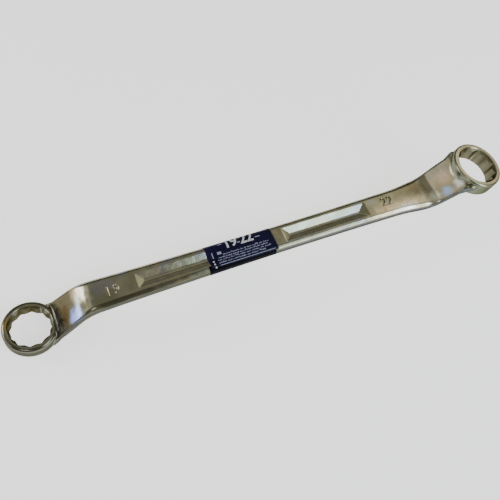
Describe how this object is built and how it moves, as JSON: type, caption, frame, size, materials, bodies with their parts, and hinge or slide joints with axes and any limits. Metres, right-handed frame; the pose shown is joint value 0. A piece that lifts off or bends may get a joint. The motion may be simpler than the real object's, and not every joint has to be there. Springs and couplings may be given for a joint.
{
  "type": "ring spanner",
  "caption": "Cranked double ring spanner with twelve-point rings for hexagon nuts, offset to opposite sides of a recessed shank, and a film size label.",
  "frame": {"origin": "midway between the two socket centres along the shank, on the shank's middle plane", "axes": "+X along the shank from the 19 mm ring to the 22 mm ring, +Y across the shank's wide faces, +Z square to the wide faces, towards the side that the 22 mm ring is offset to"},
  "size_m": [0.3042, 0.0322, 0.0442],
  "materials": {
    "plated_steel": "polished chrome plate over a forged and ground steel surface",
    "label_film": "dark blue printed film, semi-gloss"
  },
  "bodies": {
    "root": {"spanner_forging": "plated_steel", "label_wrap": "label_film"}
  },
  "joints": []
}
